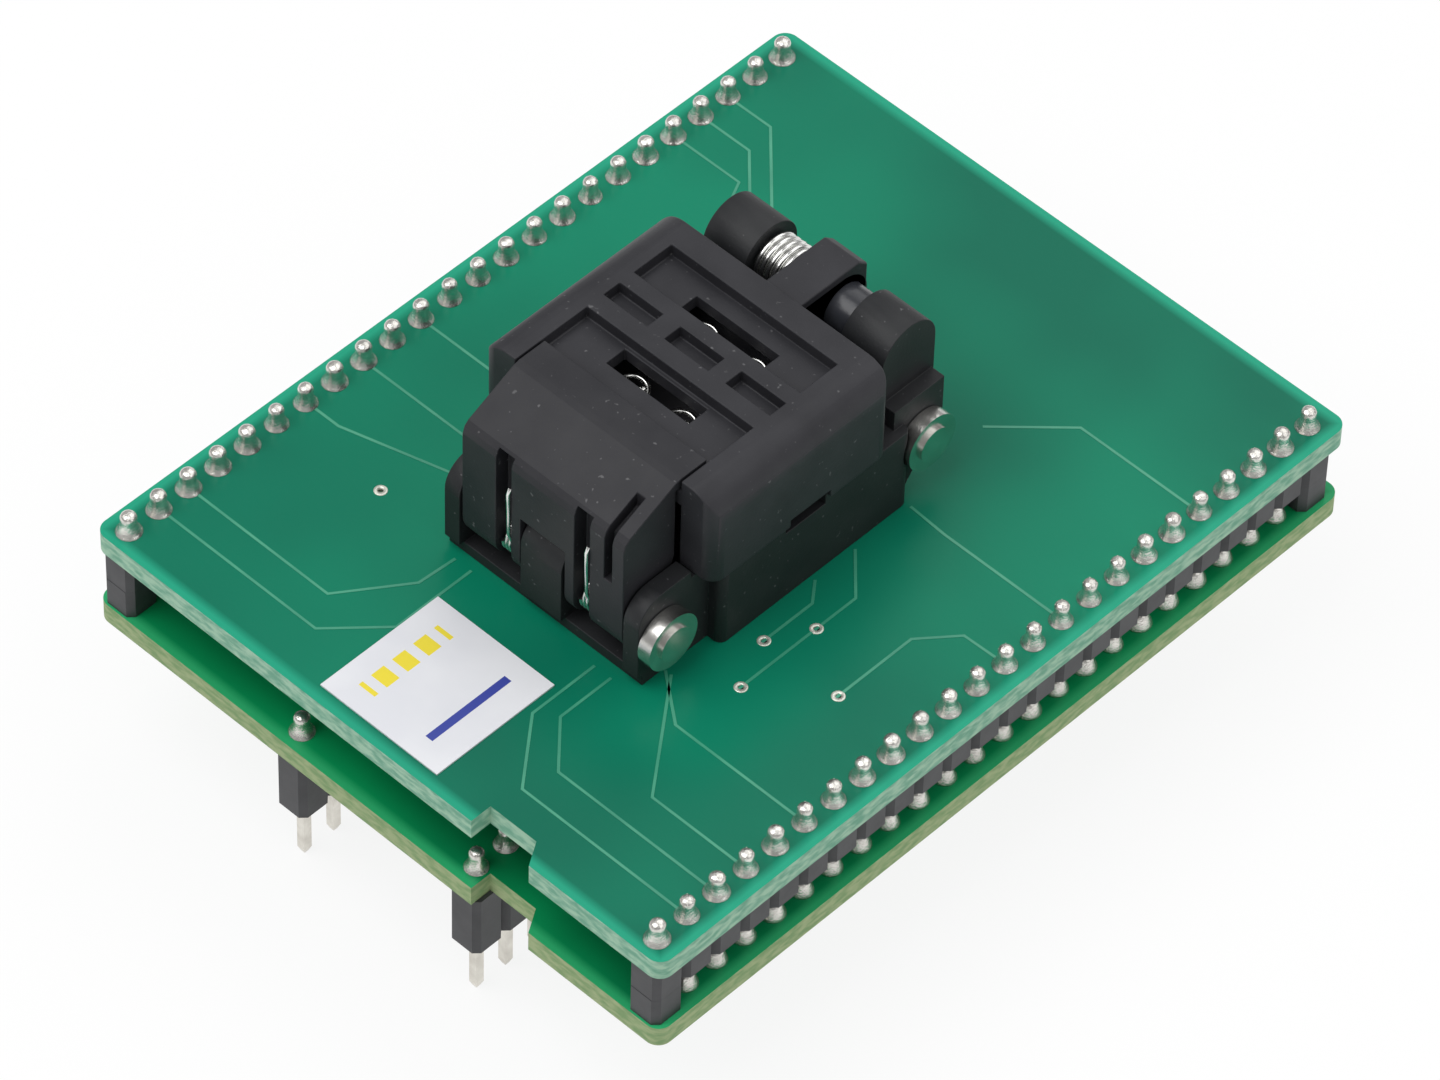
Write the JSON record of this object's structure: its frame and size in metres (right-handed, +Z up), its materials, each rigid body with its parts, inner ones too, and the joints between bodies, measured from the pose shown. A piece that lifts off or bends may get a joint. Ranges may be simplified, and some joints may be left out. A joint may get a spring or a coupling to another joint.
{
  "type": "zif test socket on a pin adapter",
  "caption": "Clamshell zero-insertion-force test socket for a flat leadless chip, on a two-board adapter with two rows of plug pins.",
  "frame": {"origin": "centre of the boards' outline at the level of the plug pins' tips", "axes": "+Z up out of the boards, +Y along the pin rows towards the lid's hinge, +X to the right with the latch in front"},
  "size_m": [0.0492, 0.062, 0.0321],
  "materials": {
    "board_top": "solder mask over traces, satin gloss",
    "board_lower": "solder mask, satin gloss",
    "label_paper": "bare white label stock",
    "strip_plastic": "moulded, satin",
    "tinned_pin": "tin plate, slightly dull",
    "solder": "solder, smooth and bright",
    "base_plastic": "glass-filled moulding, matt",
    "lid_plastic": "glass-filled moulding, matt",
    "latch_plastic": "glass-filled moulding, matt",
    "nest_plastic": "fine moulding, satin",
    "contact_alloy": "gold plate",
    "pin_steel": "turned and bright",
    "spring_steel": "drawn wire, bright"
  },
  "bodies": {
    "adapter": {"top_board": "board_top", "lower_board": "board_lower", "label": "label_paper", "riser_strip_left": "strip_plastic", "riser_strip_right": "strip_plastic", "riser_spacers": "strip_plastic", "riser_pins_left": "tinned_pin", "riser_pins_right": "tinned_pin", "top_solder_left": "solder", "top_solder_right": "solder", "lower_solder_left": "solder", "lower_solder_right": "solder", "plug_strip_upper_left": "strip_plastic", "plug_strip_upper_right": "strip_plastic", "plug_strip_lower_left": "strip_plastic", "plug_strip_lower_right": "strip_plastic", "plug_pins_left": "tinned_pin", "plug_pins_right": "tinned_pin", "plug_solder_left": "solder", "plug_solder_right": "solder", "socket_base": "base_plastic", "device_nest": "nest_plastic", "contacts_front": "contact_alloy", "contacts_back": "contact_alloy", "contacts_left": "contact_alloy", "contacts_right": "contact_alloy", "hinge_pin": "pin_steel", "hinge_spacer": "nest_plastic", "anchor_pin": "pin_steel", "latch_pin": "pin_steel"},
    "lid": {"lid": "lid_plastic", "hinge_spring": "spring_steel"},
    "pad": {"pressure_pad": "nest_plastic", "pad_springs": "spring_steel"},
    "latch": {"latch": "latch_plastic", "latch_spring_left": "spring_steel", "latch_spring_right": "spring_steel"}
  },
  "joints": [
    {"name": "lid_hinge", "type": "hinge", "parent": "adapter", "child": "lid", "pos_m": [0, 0.0079, 0.02911], "axis": [-1, 0, 0], "range_deg": [0, 100]},
    {"name": "latch_pivot", "type": "hinge", "parent": "adapter", "child": "latch", "pos_m": [0, -0.0144, 0.02151], "axis": [1, 0, 0], "range_deg": [0, 20], "stiffness_Nm_per_rad": 0.02},
    {"name": "pad_float", "type": "slide", "parent": "lid", "child": "pad", "axis": [0, 0, 1], "range_m": [0, 0.0004], "stiffness_N_per_m": 200, "deforming": ["pad_springs"]}
  ]
}
